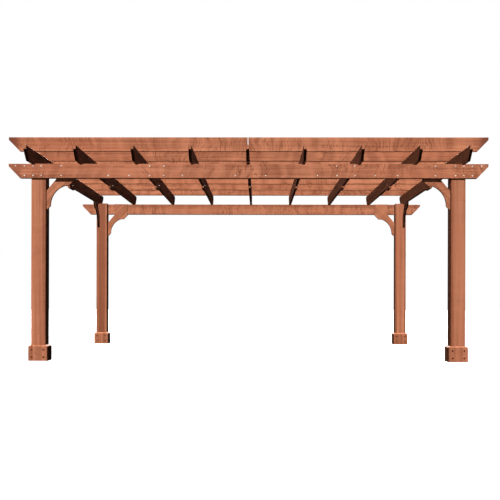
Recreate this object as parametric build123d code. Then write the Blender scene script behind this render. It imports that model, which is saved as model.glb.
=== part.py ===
from build123d import *
import os

# Timber pergola: four posts, two double beams, nine notched rafters and seven purlins.
# Sizes are in millimetres. X runs along the beams, Y from front to rear, Z upwards.
# The origin is the middle of the footprint at ground level, tails included.

# Posts and their plan
post_size = 195
post_corner_radius = 10
post_pitch_x = 5600
post_pitch_y = 4465

# Sawn boards
board_thickness = 38
edge_ease = 3
butt_gap = 1

# Beams: two plies side by side, the inner one let into the outer faces of the posts
beam_housing = 38
beam_underside = 2440
beam_height = 190
beam_length = 6380
beam_nose = 35
beam_cut_run = 151
beam_joint_x = 1264

# Rafters: notched over the beams, each in two equal halves that lap in the middle
rafter_height = 184
rafter_notch = 13
rafter_nose = 54
rafter_cut_run = 138
rafter_front_tail = 475
rafter_rear_tail = 170
rafter_spacing = 739
inner_rafter_count = 7
end_rafter_inset = 24
lap_length = 330
lap_belly = 28
lap_belly_run = 6

# Purlins: on edge across the rafters, each in two halves
purlin_height = 190
purlin_length = 6400
purlin_nose = 35
purlin_cut_run = 151
purlin_count = 7
purlin_gap = 10

# Knee braces along the beams
beam_brace_reach = 370
beam_brace_drop = 408
beam_brace_depth = 94
beam_brace_cut = 75
beam_brace_flat = 55
beam_brace_toe = 8
beam_brace_toe_cut = 46
beam_brace_sagitta = 54
beam_brace_outer_x = 132
beam_brace_outer_z = 160

# Knee braces under the end rafters
rafter_brace_reach = 420
rafter_brace_drop = 438
rafter_brace_depth = 118
rafter_brace_cut = 85
rafter_brace_flat = 70
rafter_brace_toe = 18
rafter_brace_toe_cut = 20
rafter_brace_sagitta = 50
rafter_brace_outer_x = 190
rafter_brace_outer_z = 231

# Trim boards round the foot of each post
trim_thickness = 30
trim_height = 212
trim_bevel_height = 16
trim_bevel_run = 28
trim_mitre_gap = 0.6

# Heights that follow from the above
beam_top = beam_underside + beam_height
rafter_underside = beam_top - rafter_notch
rafter_top = rafter_underside + rafter_height
purlin_top = rafter_top + purlin_height
beam_thickness = 2 * board_thickness

# Places in plan that follow from the above
middle_y = (rafter_front_tail - rafter_rear_tail) / 2
post_x = post_pitch_x / 2
post_outer_x = post_x + post_size / 2
front_face_y = middle_y - post_pitch_y / 2 - post_size / 2
rear_face_y = middle_y + post_pitch_y / 2 + post_size / 2
end_rafter_x = post_outer_x - end_rafter_inset - board_thickness / 2

SIDES = {"left": -1, "right": 1}
ENDS = {"front": -1, "rear": 1}


def save(name, *solids):
    """Write one node, made of one solid or of several that do not touch."""
    shape = solids[0] if len(solids) == 1 else Compound(children=list(solids))
    export_step(shape, os.path.join("parts", name + ".step"))


def outer_face_y(end):
    """Outer face of the front (-1) or rear (+1) posts."""
    return front_face_y if end < 0 else rear_face_y


def beam_face_y(end):
    """Outer face of the front or rear beam, in front of the posts."""
    return outer_face_y(end) + end * (beam_thickness - beam_housing)


def cutter(low, high):
    """A box between two corners."""
    size = [high[i] - low[i] for i in range(3)]
    centre = [(high[i] + low[i]) / 2 for i in range(3)]
    return Pos(*centre) * Box(*size)


def upright(outline, origin, direction):
    """A board from a closed outline that stands on edge, its mid plane through origin."""
    run = Vector(*direction)
    plane = Plane(origin=origin, x_dir=run, z_dir=run.cross(Vector(0, 0, 1)))
    face = plane * make_face(outline)
    solid = extrude(face, amount=board_thickness / 2, both=True).solid()
    broad_faces = solid.faces().filter_by(Axis((0, 0, 0), plane.z_dir))
    return chamfer(broad_faces.edges(), edge_ease).solid()


def tailed_outline(start, end, low, high, nose, run, belly=()):
    """Board on edge with a plain nose and a sloping cut at both ends."""
    points = [(start, high), (end, high), (end, high - nose), (end - run, low)]
    points += list(belly)
    points += [(start + run, low), (start, high - nose)]
    return Polyline(*points, close=True)


def post(side, end):
    """Square post with rounded corners, housed at the top for the beam."""
    centre_y = outer_face_y(end) - end * post_size / 2
    body = Pos(side * post_x, centre_y, beam_top / 2) * Box(post_size, post_size, beam_top)
    body = fillet(body.edges().filter_by(Axis.Z), post_corner_radius)
    inner_y = outer_face_y(end) - end * beam_housing
    beyond_y = outer_face_y(end) + end * post_size
    housing = cutter(
        (side * post_x - post_size, min(inner_y, beyond_y), beam_underside),
        (side * post_x + post_size, max(inner_y, beyond_y), beam_top + post_size),
    )
    return (body - housing).solid()


def base_trim(side, end):
    """Four mitred boards with a bevelled top round the foot of a post."""
    half = post_size / 2
    centre_y = outer_face_y(end) - end * half
    section = Polyline(
        (half, 0),
        (half + trim_thickness, 0),
        (half + trim_thickness, trim_height - trim_bevel_height),
        (half + trim_thickness - trim_bevel_run, trim_height),
        (half, trim_height),
        close=True,
    )
    side_plane = Plane(origin=(0, 0, 0), x_dir=(1, 0, 0), z_dir=(0, -1, 0))
    strip = extrude(side_plane * make_face(section), amount=half + trim_thickness, both=True)
    inner = half - trim_mitre_gap / 2
    outer = inner + trim_thickness
    plan = Polyline(
        (half, -inner),
        (half + trim_thickness, -outer),
        (half + trim_thickness, outer),
        (half, inner),
        close=True,
    )
    board = strip & extrude(make_face(plan), amount=trim_height)
    place = Pos(side * post_x, centre_y, 0)
    return [(place * Rot(0, 0, 90 * turn) * board).solid() for turn in range(4)]


def beam_board():
    """One ply of a beam, from end to end, on the X axis."""
    half = beam_length / 2
    return tailed_outline(-half, half, beam_underside, beam_top, beam_nose, beam_cut_run)


def beam_ply(end, ply):
    """Outer ply (0) or inner ply (1) of the front or rear beam."""
    y = beam_face_y(end) - end * board_thickness * (ply + 0.5)
    return upright(beam_board(), (0, y, 0), (1, 0, 0))


def beam_inner_boards(end):
    """The inner ply, butted from three boards behind the outer one."""
    ply = beam_ply(end, 1)
    low_y = ply.bounding_box().min.Y - board_thickness
    high_y = ply.bounding_box().max.Y + board_thickness
    for sign in (-1, 1):
        x = sign * beam_joint_x
        ply -= cutter(
            (x - butt_gap / 2, low_y, beam_underside - beam_height),
            (x + butt_gap / 2, high_y, beam_top + beam_height),
        )
    return ply.solids()


def beam_notches(x, width):
    """The seats over the two beams, or over a beam and the post behind it."""
    notches = []
    for end in ENDS.values():
        face = beam_face_y(end)
        inner = face - end * width
        notches.append(
            cutter(
                (x - board_thickness, min(face, inner), rafter_underside - rafter_height),
                (x + board_thickness, max(face, inner), beam_top),
            )
        )
    return notches


def rafter_halves(x, notch_width):
    """Front and rear halves of a rafter, halved together where they meet."""
    start = front_face_y - rafter_front_tail
    end = rear_face_y + rafter_rear_tail
    lap_start = (start + end - lap_length) / 2
    lap_end = (start + end + lap_length) / 2
    belly = [
        (lap_end, rafter_underside),
        (lap_end - lap_belly_run, rafter_underside - lap_belly),
        (lap_start + lap_belly_run, rafter_underside - lap_belly),
        (lap_start, rafter_underside),
    ]
    outline = tailed_outline(
        start, end, rafter_underside, rafter_top, rafter_nose, rafter_cut_run, belly
    )
    whole = upright(outline, (x, 0, 0), (0, 1, 0))
    for notch in beam_notches(x, notch_width):
        whole -= notch
    low_z = rafter_underside - rafter_height
    high_z = rafter_top + rafter_height
    left = x - board_thickness
    right = x + board_thickness
    front = whole - cutter((left, lap_end - butt_gap, low_z), (right, end + butt_gap, high_z))
    front -= cutter((x, lap_start, low_z), (right, end, high_z))
    rear = whole - cutter((left, start - butt_gap, low_z), (right, lap_start + butt_gap, high_z))
    rear -= cutter((left, start, low_z), (x, lap_end, high_z))
    return front.solid(), rear.solid()


def purlin_halves(y):
    """Two boards on edge, with a gap between them over the middle rafter."""
    half = purlin_length / 2
    outline = tailed_outline(-half, half, rafter_top, purlin_top, purlin_nose, purlin_cut_run)
    whole = upright(outline, (0, y, 0), (1, 0, 0))
    gap = cutter(
        (-purlin_gap / 2, y - board_thickness, rafter_top - purlin_height),
        (purlin_gap / 2, y + board_thickness, purlin_top + purlin_height),
    )
    return (whole - gap).solids()


def brace_outline(reach, drop, depth, cut, flat, toe, toe_cut, sagitta, outer_x, outer_z, head):
    """Knee brace from its inside corner: straight outer edge, hollow inner edge."""
    hollow_start = (toe + toe_cut, -drop + toe_cut)
    hollow_end = (reach - cut - flat, -depth)
    lines = Polyline(
        hollow_end,
        (reach - cut, -depth),
        (reach, -depth + cut),
        (reach, head),
        (outer_x, head),
        *([(outer_x, 0)] if head > 0 else []),
        (0, -outer_z),
        (0, -drop),
        (toe, -drop),
        hollow_start,
    )
    return lines + SagittaArc(hollow_start, hollow_end, sagitta)


def beam_brace(side, end):
    """Brace in the corner of post and beam, lapped behind the inner ply."""
    outline = brace_outline(
        beam_brace_reach,
        beam_brace_drop,
        beam_brace_depth,
        beam_brace_cut,
        beam_brace_flat,
        beam_brace_toe,
        beam_brace_toe_cut,
        beam_brace_sagitta,
        beam_brace_outer_x,
        beam_brace_outer_z,
        beam_height,
    )
    x = side * (post_x - post_size / 2)
    y = beam_face_y(end) - end * (beam_thickness + board_thickness / 2)
    return upright(outline, (x, y, beam_underside), (-side, 0, 0))


def rafter_brace(side, end):
    """Brace in the corner of post and end rafter, in line with the rafter."""
    outline = brace_outline(
        rafter_brace_reach,
        rafter_brace_drop,
        rafter_brace_depth,
        rafter_brace_cut,
        rafter_brace_flat,
        rafter_brace_toe,
        rafter_brace_toe_cut,
        rafter_brace_sagitta,
        rafter_brace_outer_x,
        rafter_brace_outer_z,
        0,
    )
    y = outer_face_y(end) - end * post_size
    return upright(outline, (side * end_rafter_x, y, rafter_underside), (0, -end, 0))


def rafter_places():
    """Middle of each rafter from left to right, with the width of its notches."""
    first = -(inner_rafter_count - 1) / 2 * rafter_spacing
    inner = [first + i * rafter_spacing for i in range(inner_rafter_count)]
    over_post = post_size + beam_thickness - beam_housing
    places = [(-end_rafter_x, over_post)]
    places += [(x, beam_thickness) for x in inner]
    places += [(end_rafter_x, over_post)]
    return places


def purlin_places():
    """Middle of each purlin, from over the front beam's inner ply to over the rear one's."""
    first = beam_face_y(-1) + beam_thickness - board_thickness / 2
    last = beam_face_y(1) - beam_thickness + board_thickness / 2
    step = (last - first) / (purlin_count - 1)
    return [first + i * step for i in range(purlin_count)]


def main():
    os.makedirs("parts", exist_ok=True)
    for end_name, end in ENDS.items():
        save(f"{end_name}_beam_outer", beam_ply(end, 0))
        save(f"{end_name}_beam_inner", *beam_inner_boards(end))
        for side_name, side in SIDES.items():
            corner = f"{end_name}_{side_name}"
            save(f"post_{corner}", post(side, end))
            save(f"base_trim_{corner}", *base_trim(side, end))
            save(f"beam_brace_{corner}", beam_brace(side, end))
            save(f"rafter_brace_{corner}", rafter_brace(side, end))
    for number, (x, notch_width) in enumerate(rafter_places(), 1):
        front, rear = rafter_halves(x, notch_width)
        save(f"rafter_{number}_front", front)
        save(f"rafter_{number}_rear", rear)
    for number, y in enumerate(purlin_places(), 1):
        save(f"purlin_{number}", *purlin_halves(y))


main()
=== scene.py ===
import math
import random

import bmesh
import bpy
from mathutils import Euler, Matrix, Vector


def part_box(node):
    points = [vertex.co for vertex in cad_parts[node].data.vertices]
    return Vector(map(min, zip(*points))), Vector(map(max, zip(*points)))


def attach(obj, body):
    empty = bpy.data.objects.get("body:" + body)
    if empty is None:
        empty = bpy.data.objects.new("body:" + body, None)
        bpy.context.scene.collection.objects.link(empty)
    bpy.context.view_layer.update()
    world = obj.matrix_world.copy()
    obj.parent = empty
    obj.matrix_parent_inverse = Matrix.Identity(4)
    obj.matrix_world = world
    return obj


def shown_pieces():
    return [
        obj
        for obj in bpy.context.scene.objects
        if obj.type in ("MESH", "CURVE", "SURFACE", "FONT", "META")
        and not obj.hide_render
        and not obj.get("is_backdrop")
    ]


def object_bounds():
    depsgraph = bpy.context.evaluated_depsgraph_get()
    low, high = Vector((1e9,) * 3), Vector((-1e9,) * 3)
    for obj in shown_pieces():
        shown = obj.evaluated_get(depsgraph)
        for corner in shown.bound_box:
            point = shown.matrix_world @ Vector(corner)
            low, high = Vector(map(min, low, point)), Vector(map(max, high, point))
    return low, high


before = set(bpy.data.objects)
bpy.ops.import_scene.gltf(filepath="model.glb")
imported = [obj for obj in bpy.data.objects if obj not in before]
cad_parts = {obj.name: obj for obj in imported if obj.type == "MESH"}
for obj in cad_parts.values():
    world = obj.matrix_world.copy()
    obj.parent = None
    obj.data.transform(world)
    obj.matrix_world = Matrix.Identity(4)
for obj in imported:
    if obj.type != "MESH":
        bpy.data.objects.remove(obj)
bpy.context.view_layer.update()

# Timber pergola: four posts, two double beams, nine notched rafters, seven purlins,
# curved knee braces and mitred foot trims, bolted together. Metres; X runs along the
# beams, Y from front to rear, Z upwards, with the ground at zero.

# Posts
# Four square posts of solid redwood, planed, oiled and rounded at the corners.
# The top of each is cut back for the inner ply of the beam. The grain runs upwards.
LIGHT_WOOD = (0.66, 0.245, 0.125)
DARK_WOOD = (0.27, 0.078, 0.033)
RED_WOOD = (0.50, 0.150, 0.070)
END_DARK_WOOD = (0.19, 0.050, 0.027)
# Gain of the painted highlight: a paler strip along the top of a board.
PAINTED_HIGHLIGHT_GAIN = (1.4, 1.5, 1.5)
RING_WIDTH = 0.011
RING_SLANT = 0.045
GRAIN_RELIEF = 0.0006
PATTERN_SHIFT = 40
# Width of the painted shade along the arrises of a board.
PAINTED_EDGE_SHADE_WIDTH = 0.014
HEART_START = 0.02
HEART_FULL = 0.06
END_DARK_START = 0.19
END_DARK_FULL = 0.035
GRAIN_TURNS = {
    "up": (0.0, -math.pi / 2, 0.0),
    "across": (0.0, 0.0, 0.0),
    "back": (0.0, 0.0, math.pi / 2),
}
POST_LOOKS = {
    "front_left": {"seed": 11, "tone": 1.02, "warmth": 0.55, "edge_shade": 0.25},
    "front_right": {"seed": 12, "tone": 0.92, "warmth": 0.5, "edge_shade": 0.25},
    "rear_left": {"seed": 13, "tone": 1.0, "warmth": 0.3, "heart": 0.62},
    "rear_right": {"seed": 14, "tone": 1.01, "warmth": 0.6, "edge_shade": 0.25},
}
CORNERS = tuple(POST_LOOKS)


class Wire:
    """A value in a material. Arithmetic on wires adds Math nodes."""

    def __init__(self, finish, socket):
        self.finish = finish
        self.socket = socket

    def __add__(self, other):
        return self.finish.maths("ADD", self, other)

    def __radd__(self, other):
        return self.finish.maths("ADD", other, self)

    def __sub__(self, other):
        return self.finish.maths("SUBTRACT", self, other)

    def __rsub__(self, other):
        return self.finish.maths("SUBTRACT", other, self)

    def __mul__(self, other):
        return self.finish.maths("MULTIPLY", self, other)

    def __rmul__(self, other):
        return self.finish.maths("MULTIPLY", other, self)

    def __truediv__(self, other):
        return self.finish.maths("DIVIDE", self, other)

    def __rtruediv__(self, other):
        return self.finish.maths("DIVIDE", other, self)


class Finish:
    """One material. Each node gets its settings first and its sockets after them."""

    def __init__(self, name):
        self.material = bpy.data.materials.new(name)
        self.material.use_nodes = True
        self.tree = self.material.node_tree
        self.shader = self.tree.nodes["Principled BSDF"]

    def node(self, kind, settings, sockets, out=0):
        made = self.tree.nodes.new(kind)
        for name, value in settings.items():
            setattr(made, name, value)
        for key, value in sockets.items():
            self.feed(made.inputs[key], value)
        return Wire(self, made.outputs[out])

    def feed(self, socket, value):
        if isinstance(value, Wire):
            self.tree.links.new(value.socket, socket)
        else:
            socket.default_value = value

    def shade(self, inputs):
        """Give the shader's inputs their values or wires."""
        for name, value in inputs.items():
            self.feed(self.shader.inputs[name], value)

    def maths(self, operation, *values):
        return self.node("ShaderNodeMath", {"operation": operation}, dict(enumerate(values)))

    def vector(self, operation, first, second):
        return self.node("ShaderNodeVectorMath", {"operation": operation}, {0: first, 1: second})

    def noise(self, place, stretch, detail=2.0, rough=0.5, out=0):
        """Soft random marks, drawn out along the axes where stretch is small."""
        drawn = self.vector("MULTIPLY", place, stretch)
        sockets = {"Vector": drawn, "Scale": 1.0, "Detail": detail, "Roughness": rough}
        return self.node("ShaderNodeTexNoise", {}, sockets, out)

    def drift(self, place, stretch, reach):
        """A slow random shift, of up to half of reach along each axis."""
        shift = self.noise(place, stretch, 1.0, out="Color")
        shift = self.vector("SUBTRACT", shift, (0.5, 0.5, 0.5))
        return self.vector("MULTIPLY", shift, reach)

    def steps(self, value, low, high):
        """From 0 below low to 1 above high, eased at both ends."""
        settings = {"interpolation_type": "SMOOTHSTEP"}
        return self.node("ShaderNodeMapRange", settings, {0: value, 1: low, 2: high})

    def reach(self, place, axis):
        """How far a point lies from the middle of a board along one axis."""
        return self.maths("ABSOLUTE", self.node("ShaderNodeSeparateXYZ", {}, {0: place}, axis))

    def blend(self, share, first, second):
        """Two colours mixed, with share of the second."""
        settings = {"data_type": "RGBA", "blend_type": "MIX"}
        return self.node("ShaderNodeMix", settings, {0: share, 6: first, 7: second}, 2)


def timber(
    name,
    low,
    high,
    grain,
    seed,
    tone,
    warmth,
    figure,
    banding=1.0,
    end_darkening=0.0,
    edge_shade=0.0,
    heart=0.0,
    painted_highlight_height=0.0,
):
    """Oiled redwood: bands, streaks and growth rings along the board, figure across it.

    tone lightens the whole board. warmth, figure and banding set how strong the red
    blushes, the figure and the bands are. end_darkening and heart darken its ends and
    its middle, and edge_shade paints shade along its arrises. painted_highlight_height
    is the height of a paler strip along the top, a painted highlight.
    """
    wood = Finish(name)
    light, dark, red, end_dark = (
        tuple(channel * tone for channel in colour) + (1.0,)
        for colour in (LIGHT_WOOD, DARK_WOOD, RED_WOOD, END_DARK_WOOD)
    )

    # Board axes: X along the grain, with the middle of the board at the origin
    centre = (Vector(low) + Vector(high)) / 2
    turn = GRAIN_TURNS[grain] if isinstance(grain, str) else grain
    unturn = Euler(turn).to_matrix().transposed()
    extent = (Vector(high) - Vector(low)) / 2
    half = [sum(abs(share) * size for share, size in zip(row, extent)) for row in unturn]
    coordinates = wood.node("ShaderNodeTexCoord", {}, {}, "Object")
    board = wood.node(
        "ShaderNodeMapping",
        {"vector_type": "TEXTURE"},
        {"Vector": coordinates, "Location": tuple(centre), "Rotation": turn},
    )
    draw = random.Random(seed)
    shift = tuple(draw.uniform(-PATTERN_SHIFT, PATTERN_SHIFT) for _ in range(3))
    piece = wood.vector("ADD", board, shift)

    # Grain along the board
    wander = wood.drift(piece, (0.9, 4.0, 4.0), (0.0, 0.03, 0.03))
    fibre = wood.vector("ADD", piece, wander)
    bands = wood.noise(fibre, (0.12, 15.0, 15.0), 1.0, 0.5)
    streaks = wood.noise(fibre, (0.7, 46.0, 46.0), 2.0, 0.55)
    fine = wood.noise(fibre, (7.0, 260.0, 260.0), 2.0, 0.6)
    pith = (0.0, draw.uniform(0.07, 0.13), draw.uniform(-0.09, 0.09))
    around = wood.vector("ADD", wood.vector("ADD", board, wander), pith)
    around = wood.vector("MULTIPLY", around, (RING_SLANT, 1.0, 1.0))
    radius = wood.node("ShaderNodeVectorMath", {"operation": "LENGTH"}, {0: around}, "Value")
    ring = wood.maths("FRACT", radius / RING_WIDTH)
    late_wood = wood.steps(ring, 0.45, 0.95) * (1.0 - wood.steps(ring, 0.95, 1.0))

    # Figure across the board, with thin veins in patches
    curled = wood.vector("ADD", piece, wood.drift(piece, (1.8, 5.0, 5.0), (0.22, 0.0, 0.0)))
    curl = wood.noise(curled, (9.0, 1.6, 1.6), 1.0, 0.4)
    ripple = wood.noise(curled, (24.0, 3.2, 3.2), 1.0, 0.5)
    vein = 1.0 - wood.steps(wood.maths("ABSOLUTE", ripple - 0.5), 0.0, 0.05)
    patch = wood.steps(wood.noise(piece, (1.3, 0.6, 0.6), 1.0), 0.38, 0.58)

    value = 0.55 + (bands - 0.5) * (banding * 0.6) + (streaks - 0.5) * 0.8 + (fine - 0.5) * 0.3
    value = value - late_wood * 0.12 + (curl - 0.5) * (figure * 0.7)
    value = value - vein * patch * (figure * 0.34)
    colour = wood.blend(wood.steps(value, 0.0, 1.0), dark, light)
    blush = wood.steps(wood.noise(piece, (0.5, 5.0, 5.0), 1.0), 0.4, 0.75)
    colour = wood.blend(blush * warmth, colour, red)

    if heart or edge_shade:
        below_side = half[1] - wood.reach(board, "Y")
        below_face = half[2] - wood.reach(board, "Z")
        depth = wood.maths("MAXIMUM", below_side, below_face)
    if heart:
        inner = wood.steps(depth + (bands - 0.5) * 0.06, HEART_START, HEART_FULL)
        colour = wood.blend(inner * heart, colour, dark)
    # Painted shade: the board is darker along its arrises, where the rounded corners turn from
    # the light.
    if edge_shade:
        arris_shade = 1.0 - wood.steps(depth, 0.0, PAINTED_EDGE_SHADE_WIDTH)
        colour = wood.blend(arris_shade * edge_shade, colour, dark)
    # The board is coloured darker towards its ends.
    if end_darkening:
        toward_end = wood.reach(board, "X") + (streaks - 0.5) * 0.08
        toward_end = wood.steps(toward_end, half[0] - END_DARK_START, half[0] - END_DARK_FULL)
        colour = wood.blend(toward_end * end_darkening, colour, end_dark)
    # A painted highlight: the strip along the top, over a trim's bevel, is made paler as if lit
    # from above.
    if painted_highlight_height:
        height = wood.node("ShaderNodeSeparateXYZ", {}, {0: coordinates}, "Z")
        highlight_strip = wood.maths("GREATER_THAN", height, high[2] - painted_highlight_height)
        colour = wood.blend(highlight_strip, colour, wood.vector("MULTIPLY", colour, PAINTED_HIGHLIGHT_GAIN))

    relief = {"Strength": 0.35, "Distance": GRAIN_RELIEF, "Height": fine + late_wood * 0.6}
    wood.shade(
        {
            "Base Color": colour,
            "Roughness": 0.72 - streaks * 0.16 + late_wood * 0.05,
            "Specular IOR Level": 0.2,
            "Normal": wood.node("ShaderNodeBump", {}, relief),
        }
    )
    return wood.material


def dress(node, grain, **look):
    """Give a timber of the frame its finish, and return its box."""
    low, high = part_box(node)
    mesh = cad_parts[node].data
    mesh.materials.clear()
    mesh.materials.append(timber(node, low, high, grain, **look))
    return low, high


for corner, look in POST_LOOKS.items():
    dress(f"post_{corner}", "up", figure=0.25, banding=2.8, **look)

# Foot trims
# Four short boards, mitred at the corners and bevelled along the top, stand round the
# foot of each post. Each is held by four screws, shown as small dark round plugs.
# The paler strip along the top of each trim is a painted highlight on its bevel.
TRIM_LOOK = {
    "tone": 0.98,
    "warmth": 0.5,
    "figure": 0.4,
    "banding": 1.7,
    "edge_shade": 0.45,
    "painted_highlight_height": 0.017,
}
PLUG_COLOUR = (0.100, 0.018, 0.006, 1.0)
PLUG_RADIUS = 0.012
PLUG_STAND = 0.0012
PLUG_DOME = (0.002, 0.0005)
PLUG_ACROSS = 0.077
PLUG_HEIGHTS = (0.052, 0.150)
SIDES = (Vector((0, -1, 0)), Vector((1, 0, 0)), Vector((0, 1, 0)), Vector((-1, 0, 0)))


def round_piece(name, radius, height, sides):
    """A short cylinder that stands on the ground plane at the origin."""
    bpy.ops.object.select_all(action="DESELECT")
    bpy.ops.mesh.primitive_cylinder_add(
        vertices=sides, radius=radius, depth=height, location=(0, 0, height / 2)
    )
    piece = bpy.context.object
    piece.name = name
    bpy.ops.object.transform_apply(location=True, rotation=True, scale=True)
    return piece


def shape_top(piece, *rings):
    """Inset the top face of a piece ring by ring, each with its width and its rise."""
    bpy.ops.object.select_all(action="DESELECT")
    bpy.context.view_layer.objects.active = piece
    piece.select_set(True)
    bpy.ops.object.mode_set(mode="EDIT")
    bpy.ops.mesh.select_mode(type="FACE")
    bpy.ops.mesh.select_all(action="DESELECT")
    for width, rise in rings:
        mesh = bmesh.from_edit_mesh(piece.data)
        top = max(vertex.co.z for vertex in mesh.verts)
        for face in mesh.faces:
            centre = face.calc_center_median()
            face.select_set(face.normal.z > 0.9 and centre.z > top - 0.0001)
        mesh.select_flush_mode()
        bmesh.update_edit_mesh(piece.data)
        bpy.ops.mesh.inset(thickness=width, depth=rise)
    bpy.ops.object.mode_set(mode="OBJECT")


def copy_to(model, place, outwards):
    """A copy of a model with its own mesh, its axis turned to point outwards."""
    twin = bpy.data.objects.new(model.name, model.data.copy())
    bpy.context.scene.collection.objects.link(twin)
    turn = Vector((0, 0, 1)).rotation_difference(Vector(outwards)).to_matrix().to_4x4()
    twin.data.transform(Matrix.Translation(Vector(place)) @ turn)
    return twin


def gather(name, copies, material):
    """Join copies into one piece that rides on the frame."""
    bpy.ops.object.select_all(action="DESELECT")
    for copy in copies:
        copy.select_set(True)
    bpy.context.view_layer.objects.active = copies[0]
    bpy.ops.object.join()
    piece = bpy.context.object
    piece.name = name
    piece.data.name = name
    piece.data.materials.clear()
    piece.data.materials.append(material)
    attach(piece, "root")


plug_model = round_piece("plug", PLUG_RADIUS, PLUG_STAND, 16)
shape_top(plug_model, PLUG_DOME)
bpy.ops.object.shade_smooth_by_angle(angle=math.radians(40))
plug = Finish("plug")
plug.shade({"Base Color": PLUG_COLOUR, "Roughness": 0.8, "Specular IOR Level": 0.1})
for number, corner in enumerate(CORNERS):
    low, high = dress(f"base_trim_{corner}", "up", seed=21 + number, **TRIM_LOOK)
    middle = (low + high) / 2
    half_width = (high.x - low.x) / 2
    copies = []
    for outwards in SIDES:
        along = Vector((0, 0, 1)).cross(outwards)
        for side in (-1, 1):
            for height in PLUG_HEIGHTS:
                place = middle + outwards * half_width + along * (side * PLUG_ACROSS)
                place.z = height
                copies.append(copy_to(plug_model, place, outwards))
    gather(f"base_trim_plugs_{corner}", copies, plug.material)
bpy.data.objects.remove(plug_model)

# Beams
# Two plies of board on edge, front and rear. The outer ply runs in one length and the
# inner one is butted from three boards. Galvanised bolts through both plies, the posts
# and the knee braces show as domed heads on washers.
BEAM_LOOK = {
    "tone": 1.08,
    "warmth": 0.45,
    "figure": 1.3,
    "banding": 1.2,
    "end_darkening": 0.25,
    "edge_shade": 0.22,
}
BEAM_STEEL_DULL = (0.88, 0.74, 0.62, 1.0)
BEAM_STEEL_BRIGHT = (1.0, 0.90, 0.80, 1.0)
WASHER_RADIUS = 0.0095
WASHER_THICKNESS = 0.002
WASHER_EDGE = (0.0008, 0.0004)
HEAD_RADIUS = 0.0070
HEAD_RIM = 0.003
HEAD_DOME = ((0.0016, 0.0015), (0.0024, 0.0010), (0.0023, 0.0004))
BOLT_ROW_LOW = 2.472
BOLT_ROW_HIGH = 2.600
OUTER_BOLTS = (2.487, 2.755, 2.864, 2.976)
BOLTS_LOW = (-1.859, -1.582, -1.312, -1.119, -0.871, -0.165)
BOLTS_LOW += (0.238, 0.926, 1.185, 1.422, 1.691, 1.987)
BOLTS_HIGH = (-3.098, -1.310, -1.119, 1.178, 1.422, 3.098)


def galvanised(name, dull, bright):
    """Zinc-coated steel, its spangle mixed from a dull and a bright tone."""
    steel = Finish(name)
    place = steel.node("ShaderNodeTexCoord", {}, {}, "Object")
    spangle = steel.noise(place, (320.0, 320.0, 320.0), 2.0)
    colour = steel.blend(spangle, dull, bright)
    steel.shade({"Base Color": colour, "Metallic": 0.3, "Roughness": 0.34 + spangle * 0.2})
    return steel.material


beam_steel = galvanised("galvanised_steel", BEAM_STEEL_DULL, BEAM_STEEL_BRIGHT)
washer_model = round_piece("washer", WASHER_RADIUS, WASHER_THICKNESS, 24)
shape_top(washer_model, WASHER_EDGE)
head_model = round_piece("head", HEAD_RADIUS, HEAD_RIM, 20)
shape_top(head_model, *HEAD_DOME)
bpy.ops.object.shade_smooth_by_angle(angle=math.radians(50))
head_model.data.transform(Matrix.Translation((0, 0, WASHER_THICKNESS)))

for number, (end, outwards) in enumerate((("front", (0, -1, 0)), ("rear", (0, 1, 0)))):
    for ply_number, ply in enumerate(("outer", "inner")):
        seed = 31 + 2 * number + ply_number
        dress(f"{end}_beam_{ply}", "across", seed=seed, **BEAM_LOOK)
    low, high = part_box(f"{end}_beam_outer")
    face_y = low.y if end == "front" else high.y
    copies = []
    for row, places in ((BOLT_ROW_LOW, BOLTS_LOW), (BOLT_ROW_HIGH, BOLTS_HIGH)):
        for x in places + OUTER_BOLTS + tuple(-x for x in OUTER_BOLTS):
            copies.append(copy_to(washer_model, (x, face_y, row), outwards))
            copies.append(copy_to(head_model, (x, face_y, row), outwards))
    gather(f"{end}_beam_bolts", copies, beam_steel)

# Knee braces along the beams
# Curved braces sawn from wide board, one in each corner of post and beam. The head of
# each laps up behind the inner ply, and the grain runs from the toe to the head.
BEAM_BRACE_LOOK = {"tone": 1.06, "warmth": 0.2, "figure": 0.8}
for number, corner in enumerate(CORNERS):
    rise = -math.pi / 4 if corner.endswith("left") else math.pi / 4
    dress(f"beam_brace_{corner}", (0.0, rise, 0.0), seed=41 + number, **BEAM_BRACE_LOOK)

# Rafters
# Nine boards on edge, notched over both beams, with shaped tails. Each is two halves
# that lap at mid span, with one bolt through the lap: head and washer on the left,
# washer, nut and thread end on the right.
RAFTER_LOOK = {"tone": 0.98, "warmth": 0.4, "figure": 0.3}
# Painted shade: the lap bolts' steel gets much darker tones than the beam bolts', as they sit on
# the shaded sides of the rafters.
LAP_STEEL_SHADE_DULL = (0.10, 0.085, 0.07, 1.0)
LAP_STEEL_SHADE_BRIGHT = (0.22, 0.19, 0.16, 1.0)
LAP_BOLT_RISE = 0.053
NUT_RADIUS = 0.0105
NUT_HEIGHT = 0.010
NUT_EDGE = (0.0012, 0.0008)
THREAD_RADIUS = 0.006
THREAD_LENGTH = 0.020
THREAD_EDGE = (0.0012, 0.001)

# The same galvanised finish as the beam bolts, painted dark as shade.
shaded_lap_steel = galvanised("weathered_steel", LAP_STEEL_SHADE_DULL, LAP_STEEL_SHADE_BRIGHT)
nut_model = round_piece("nut", NUT_RADIUS, NUT_HEIGHT, 6)
shape_top(nut_model, NUT_EDGE)
nut_model.data.transform(Matrix.Translation((0, 0, WASHER_THICKNESS)))
thread_model = round_piece("thread", THREAD_RADIUS, THREAD_LENGTH, 14)
shape_top(thread_model, THREAD_EDGE)

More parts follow.
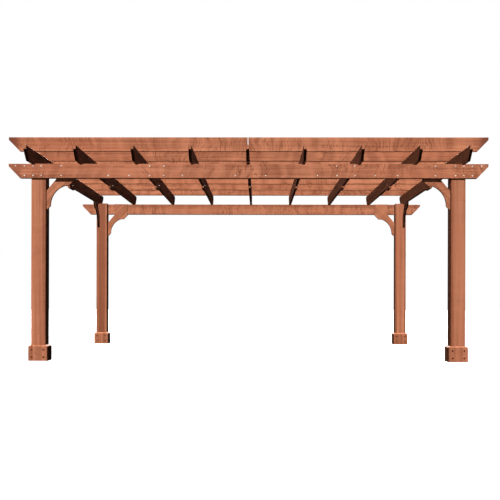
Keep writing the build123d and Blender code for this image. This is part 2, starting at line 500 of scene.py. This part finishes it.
for number in range(1, 10):
    seed = 50 + 2 * number
    low, high = dress(f"rafter_{number}_front", "back", seed=seed, **RAFTER_LOOK)
    rear_low, _ = dress(f"rafter_{number}_rear", "back", seed=seed + 1, **RAFTER_LOOK)
    lap_y = (high.y + rear_low.y) / 2
    lap_z = low.z + LAP_BOLT_RISE
    copies = []
    for model in (washer_model, head_model):
        copies.append(copy_to(model, (low.x, lap_y, lap_z), (-1, 0, 0)))
    for model in (washer_model, nut_model, thread_model):
        copies.append(copy_to(model, (high.x, lap_y, lap_z), (1, 0, 0)))
    gather(f"rafter_{number}_lap_bolt", copies, shaded_lap_steel)
for model in (washer_model, head_model, nut_model, thread_model):
    bpy.data.objects.remove(model)

# Knee braces under the end rafters
# The same kind of curved brace, in line with the end rafter, from the inner face of the
# post to the underside of the rafter.
RAFTER_BRACE_LOOK = {"tone": 1.0, "warmth": 0.35, "figure": 0.8}
for number, corner in enumerate(CORNERS):
    rise = -math.pi / 4 if corner.startswith("front") else math.pi / 4
    grain = (0.0, rise, math.pi / 2)
    dress(f"rafter_brace_{corner}", grain, seed=81 + number, **RAFTER_BRACE_LOOK)

# Purlins
# Seven boards on edge across the rafters, each in two lengths that stop short of each
# other over the middle rafter. Each is coloured darker towards its cut ends.
PURLIN_LOOK = {"warmth": 0.45, "figure": 1.1, "banding": 1.2, "end_darkening": 0.95, "edge_shade": 0.22}
PURLIN_TONES = (1.11, 1.11, 1.2, 1.2, 1.2, 1.2, 1.2)
for number, tone in enumerate(PURLIN_TONES, 1):
    dress(f"purlin_{number}", "across", seed=90 + number, tone=tone, **PURLIN_LOOK)

# Floor and backdrop
# A plain white studio: a wide pale floor, and an even white surround that the camera
# sees in full and that gives the timber almost no light.
FLOOR_SIZE = 120
FLOOR_DROP = 0.0005
FLOOR_GLOW = 0.92
SURROUND_LIGHT = 0.013
WHITE = (1.0, 1.0, 1.0, 1.0)

bpy.ops.object.select_all(action="DESELECT")
bpy.ops.mesh.primitive_plane_add(size=FLOOR_SIZE, location=(0, 0, -FLOOR_DROP))
floor = bpy.context.object
floor.name = "floor"
pale = Finish("floor")
pale.shade({"Base Color": (0.8, 0.8, 0.8, 1.0), "Roughness": 0.9, "Specular IOR Level": 0.0})
pale.shade({"Emission Color": WHITE, "Emission Strength": FLOOR_GLOW})
floor.data.materials.append(pale.material)
floor.visible_diffuse = False
floor.visible_glossy = False
floor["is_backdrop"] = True

world = bpy.data.worlds.new("studio")
bpy.context.scene.world = world
world.use_nodes = True
world_nodes = world.node_tree.nodes
backdrop = world_nodes["Background"]
backdrop.inputs["Color"].default_value = WHITE
seen = world_nodes.new("ShaderNodeLightPath")
surround = world_nodes.new("ShaderNodeMapRange")
surround.inputs["To Min"].default_value = SURROUND_LIGHT
surround.inputs["To Max"].default_value = 1.0
world.node_tree.links.new(seen.outputs["Is Camera Ray"], surround.inputs["Value"])
world.node_tree.links.new(surround.outputs["Result"], backdrop.inputs["Strength"])

# Lights
# A low light for the front timbers, shaded only by the front beam and foot trims, and a
# higher one for all behind them but the braces under the end rafters, which stay dark.
# Weaker lights come from above, from behind and from both sides.
LAMP_DISTANCE = 3000.0
LAMP_AIM = 2.0
FRONT_TIMBERS = (
    "front_beam",
    "post_front",
    "beam_brace_front",
    "base_trim_front",
    "base_trim_plugs_front",
)


def lamp(name, strength, azimuth, elevation, spread, shadow=True, lit=None, blockers=None):
    """A round light far away. Azimuth 0 comes from the front, 90 from the right."""
    light = bpy.data.lights.new(name, "POINT")
    light.energy = strength * 4 * math.pi * LAMP_DISTANCE**2
    light.shadow_soft_size = LAMP_DISTANCE * math.tan(math.radians(spread / 2))
    light.use_shadow = shadow
    holder = bpy.data.objects.new(name, light)
    bpy.context.scene.collection.objects.link(holder)
    turn = Euler((math.radians(-elevation), 0.0, math.radians(azimuth)))
    holder.location = turn.to_matrix() @ Vector((0.0, -LAMP_DISTANCE, 0.0))
    holder.location.z += LAMP_AIM
    for role, members in (("receiver", lit), ("blocker", blockers)):
        if members is not None:
            group = bpy.data.collections.new(f"{name}_{role}")
            for piece in members:
                group.objects.link(piece)
            setattr(holder.light_linking, f"{role}_collection", group)


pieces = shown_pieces()
near = [piece for piece in pieces if piece.name.startswith(FRONT_TIMBERS)]
not_far = FRONT_TIMBERS + ("rafter_brace",)
far = [piece for piece in pieces if not piece.name.startswith(not_far)]
casting = [piece for piece in near if piece.name.startswith(("front_beam", "base_trim"))]
lamp("front_light", 3.85, -7.2, 45, 4, shadow=False, lit=far + [floor])
lamp("front_light_near", 3.0, -7.4, 28, 3, lit=near, blockers=casting)
lamp("upper_light", 1.2, 0, 80, 0.5, shadow=False)
lamp("rear_light", 2.8, 180, 30, 0.5, shadow=False)
lamp("left_light", 2.3, -90, 0, 0.1)
lamp("right_light", 2.3, 90, 0, 0.1)
for piece in pieces:
    piece.visible_diffuse = False

# Camera
# Level, a little right of the middle and 0.81 m above the ground, 11 m in front of the
# posts, with the picture raised so that the uprights stay upright.
PHOTO_WIDTH = 500
FOCAL_PIXELS = 828.5
RISE_PIXELS = 50.56
SENSOR_WIDTH = 36.0
CAMERA_PLACE = (0.144, -13.2265, 0.8133)
CAMERA_ROLL = -0.0024
CAMERA_YAW = 0.01016

camera_data = bpy.data.cameras.new("camera")
camera_data.sensor_width = SENSOR_WIDTH
camera_data.sensor_fit = "HORIZONTAL"
camera_data.lens = FOCAL_PIXELS / PHOTO_WIDTH * SENSOR_WIDTH
camera_data.shift_y = RISE_PIXELS / PHOTO_WIDTH
camera_data.clip_end = 200.0
camera = bpy.data.objects.new("camera", camera_data)
bpy.context.scene.collection.objects.link(camera)
camera.location = CAMERA_PLACE
camera.rotation_euler = (math.pi / 2, CAMERA_ROLL, CAMERA_YAW)
bpy.context.scene.camera = camera
bpy.context.scene.view_settings.view_transform = "Standard"

low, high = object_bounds()
